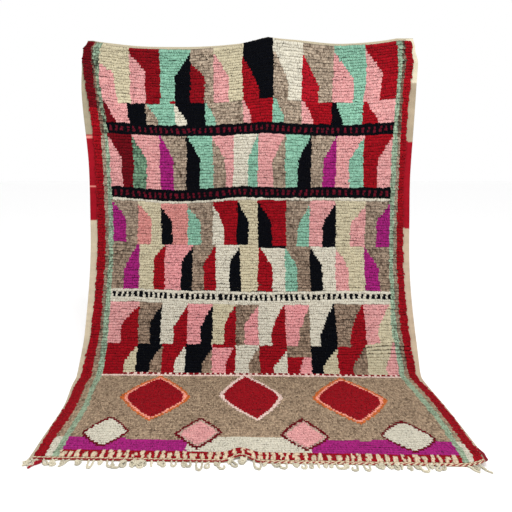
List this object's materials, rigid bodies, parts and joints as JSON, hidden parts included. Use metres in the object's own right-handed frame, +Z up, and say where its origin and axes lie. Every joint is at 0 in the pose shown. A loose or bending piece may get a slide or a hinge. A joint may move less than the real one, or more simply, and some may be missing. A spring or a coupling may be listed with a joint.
{
  "type": "boujad rug",
  "caption": "Hand-knotted wool pile rug, held by its top edge, hanging down, sweeping forward and lying flat on the floor, with a knotted fringe at its hem.",
  "frame": {"origin": "middle of the top edge, at the rug's back", "axes": "+Z up, +X to the rug's right as seen from its pile side, and the pile faces -Y where the rug hangs and +Z where it lies on the floor"},
  "size_m": [1.6223, 1.1975, 1.5707],
  "materials": {
    "pile": "hand-spun wool knotted pile in bands of red, pink, mint, taupe, cream, black and purple, matt",
    "warp": "undyed wool warp ends, knotted into short loops and tips, matt"
  },
  "bodies": {
    "root": {"rug": "pile", "fringe": "warp"}
  },
  "joints": []
}
